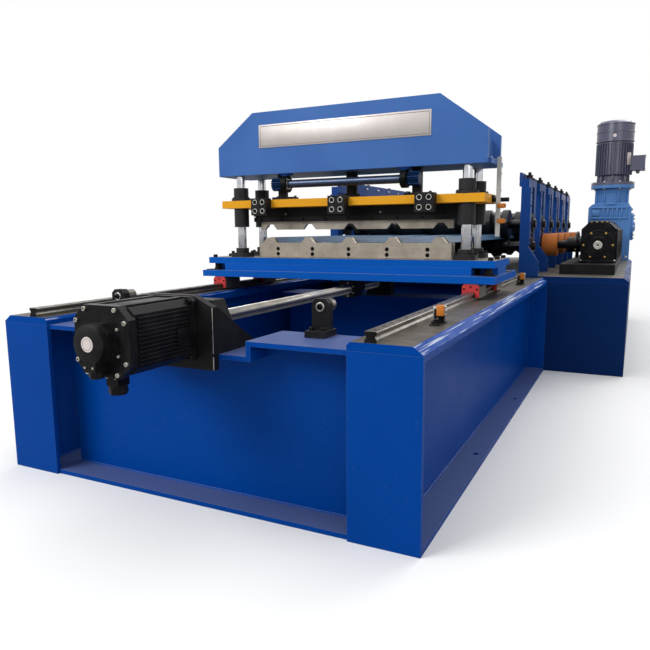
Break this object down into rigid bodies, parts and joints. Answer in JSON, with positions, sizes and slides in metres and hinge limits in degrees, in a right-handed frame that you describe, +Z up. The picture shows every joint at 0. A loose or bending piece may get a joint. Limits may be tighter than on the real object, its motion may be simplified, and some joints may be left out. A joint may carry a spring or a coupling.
{
  "type": "roll forming machine",
  "caption": "Roll forming line for ribbed roof sheet: travelling profile shear on a railed table, followed by roll stands with line shaft, gearboxes, reducer and motor.",
  "frame": {"origin": "on the floor, under the middle of the front cross beam's bottom flange", "axes": "+X to the drive side, +Y along the machine from the shear table's outlet end to the roll stands, +Z up"},
  "size_m": [1.933, 5.098, 1.697],
  "materials": {
    "blue_paint": "gloss enamel",
    "machined_steel": "machined, oiled",
    "ground_steel": "ground",
    "blade_steel": "ground tool steel",
    "black_steel": "black oxide",
    "black_rolls": "dark, turned",
    "gear_steel": "oiled",
    "chromed_posts": "hard chrome",
    "yellow_paint": "gloss enamel",
    "servo_black": "satin",
    "white_bar": "satin",
    "switch_bracket": "satin",
    "black_castings": "gloss paint",
    "reducer_blue": "gloss enamel",
    "motor_grey": "gloss enamel",
    "galvanised_sheet": "coated sheet"
  },
  "bodies": {
    "frame": {"side_beam_left": "blue_paint", "side_beam_right": "blue_paint", "front_cross_beam": "blue_paint", "rear_cross_beam": "blue_paint", "screw_cross_beam": "blue_paint", "mill_base": "blue_paint", "mill_stands": "blue_paint", "stand_ties": "blue_paint", "rail_seats": "machined_steel", "mill_deck": "machined_steel", "linear_rails": "ground_steel", "stop_buffers": "ground_steel", "travel_stops": "black_steel", "servo_bracket": "black_steel", "screw_bearings": "black_steel", "bearing_chocks": "black_steel", "adjusting_screws": "black_steel", "gearbox_pedestal": "black_steel", "servo_motor": "servo_black", "deck_switches": "switch_bracket", "gearboxes": "black_castings", "main_reducer": "reducer_blue", "drive_motor": "motor_grey", "formed_sheet": "galvanised_sheet"},
    "carriage": {"carriage_plate": "blue_paint", "linear_blocks": "ground_steel", "carriage_spacers": "blue_paint", "bolster": "machined_steel", "lower_blades": "blade_steel", "guide_posts": "chromed_posts", "post_sockets": "black_steel", "ball_nut": "black_steel", "top_beam": "blue_paint", "press_cylinder": "reducer_blue", "shaft_hangers": "blue_paint", "switch_bar": "white_bar"},
    "shear_slide": {"slide_plate": "yellow_paint", "slide_bushings": "black_steel", "clamp_blocks": "black_steel", "blade_holder": "black_steel", "upper_blade": "blade_steel", "piston_rod": "ground_steel", "sync_racks": "gear_steel"},
    "sync_shaft_body": {"sync_shaft": "gear_steel"},
    "screw": {"ball_screw": "ground_steel"},
    "drive_shaft": {"line_shaft": "ground_steel"},
    "body_lower_rolls_1": {"lower_rolls_1": "black_rolls"},
    "body_lower_rolls_2": {"lower_rolls_2": "black_rolls"},
    "body_lower_rolls_3": {"lower_rolls_3": "black_rolls"},
    "body_lower_rolls_4": {"lower_rolls_4": "black_rolls"},
    "body_lower_rolls_5": {"lower_rolls_5": "black_rolls"},
    "body_lower_rolls_6": {"lower_rolls_6": "black_rolls"},
    "body_upper_rolls_1": {"upper_rolls_1": "black_rolls"},
    "body_upper_rolls_2": {"upper_rolls_2": "black_rolls"},
    "body_upper_rolls_3": {"upper_rolls_3": "black_rolls"},
    "body_upper_rolls_4": {"upper_rolls_4": "black_rolls"},
    "body_upper_rolls_5": {"upper_rolls_5": "black_rolls"},
    "body_upper_rolls_6": {"upper_rolls_6": "black_rolls"}
  },
  "joints": [
    {"name": "carriage_travel", "type": "slide", "parent": "frame", "child": "carriage", "axis": [0, -1, 0], "range_m": [0, 0.795]},
    {"name": "shear_stroke", "type": "slide", "parent": "carriage", "child": "shear_slide", "axis": [0, 0, -1], "range_m": [0, 0.067]},
    {"name": "sync_turn", "type": "hinge", "parent": "carriage", "child": "sync_shaft_body", "pos_m": [0, 1.039, 1.017], "axis": [1, 0, 0], "range_deg": [-150, 0]},
    {"name": "screw_turn", "type": "hinge", "parent": "frame", "child": "screw", "pos_m": [0, 0.5, 0.538], "axis": [0, 1, 0], "continuous": true},
    {"name": "rolls_1_lower_turn", "type": "hinge", "parent": "frame", "child": "body_lower_rolls_1", "pos_m": [0, 2.346, 0.705], "axis": [1, 0, 0], "continuous": true},
    {"name": "drive_shaft_turn", "type": "hinge", "parent": "frame", "child": "drive_shaft", "pos_m": [0.963, 2.346, 0.705], "axis": [0, 1, 0], "continuous": true},
    {"name": "rolls_1_upper_turn", "type": "hinge", "parent": "frame", "child": "body_upper_rolls_1", "pos_m": [0, 2.346, 0.835], "axis": [1, 0, 0], "continuous": true},
    {"name": "rolls_2_lower_turn", "type": "hinge", "parent": "frame", "child": "body_lower_rolls_2", "pos_m": [0, 2.776, 0.705], "axis": [1, 0, 0], "continuous": true},
    {"name": "rolls_2_upper_turn", "type": "hinge", "parent": "frame", "child": "body_upper_rolls_2", "pos_m": [0, 2.776, 0.835], "axis": [1, 0, 0], "continuous": true},
    {"name": "rolls_3_lower_turn", "type": "hinge", "parent": "frame", "child": "body_lower_rolls_3", "pos_m": [0, 3.206, 0.705], "axis": [1, 0, 0], "continuous": true},
    {"name": "rolls_3_upper_turn", "type": "hinge", "parent": "frame", "child": "body_upper_rolls_3", "pos_m": [0, 3.206, 0.835], "axis": [1, 0, 0], "continuous": true},
    {"name": "rolls_4_lower_turn", "type": "hinge", "parent": "frame", "child": "body_lower_rolls_4", "pos_m": [0, 3.636, 0.705], "axis": [1, 0, 0], "continuous": true},
    {"name": "rolls_4_upper_turn", "type": "hinge", "parent": "frame", "child": "body_upper_rolls_4", "pos_m": [0, 3.636, 0.835], "axis": [1, 0, 0], "continuous": true},
    {"name": "rolls_5_lower_turn", "type": "hinge", "parent": "frame", "child": "body_lower_rolls_5", "pos_m": [0, 4.066, 0.705], "axis": [1, 0, 0], "continuous": true},
    {"name": "rolls_5_upper_turn", "type": "hinge", "parent": "frame", "child": "body_upper_rolls_5", "pos_m": [0, 4.066, 0.835], "axis": [1, 0, 0], "continuous": true},
    {"name": "rolls_6_lower_turn", "type": "hinge", "parent": "frame", "child": "body_lower_rolls_6", "pos_m": [0, 4.496, 0.705], "axis": [1, 0, 0], "continuous": true},
    {"name": "rolls_6_upper_turn", "type": "hinge", "parent": "frame", "child": "body_upper_rolls_6", "pos_m": [0, 4.496, 0.835], "axis": [1, 0, 0], "continuous": true}
  ],
  "couplings": [
    {"joint": "sync_turn", "follows": "shear_stroke", "rad_per_m": -37.037},
    {"joint": "screw_turn", "follows": "carriage_travel", "rad_per_m": 314.16},
    {"joint": "drive_shaft_turn", "follows": "rolls_1_lower_turn", "ratio": 1},
    {"joint": "rolls_1_upper_turn", "follows": "rolls_1_lower_turn", "ratio": -1},
    {"joint": "rolls_2_lower_turn", "follows": "rolls_1_lower_turn", "ratio": 1},
    {"joint": "rolls_2_upper_turn", "follows": "rolls_1_lower_turn", "ratio": -1},
    {"joint": "rolls_3_lower_turn", "follows": "rolls_1_lower_turn", "ratio": 1},
    {"joint": "rolls_3_upper_turn", "follows": "rolls_1_lower_turn", "ratio": -1},
    {"joint": "rolls_4_lower_turn", "follows": "rolls_1_lower_turn", "ratio": 1},
    {"joint": "rolls_4_upper_turn", "follows": "rolls_1_lower_turn", "ratio": -1},
    {"joint": "rolls_5_lower_turn", "follows": "rolls_1_lower_turn", "ratio": 1},
    {"joint": "rolls_5_upper_turn", "follows": "rolls_1_lower_turn", "ratio": -1},
    {"joint": "rolls_6_lower_turn", "follows": "rolls_1_lower_turn", "ratio": 1},
    {"joint": "rolls_6_upper_turn", "follows": "rolls_1_lower_turn", "ratio": -1}
  ]
}
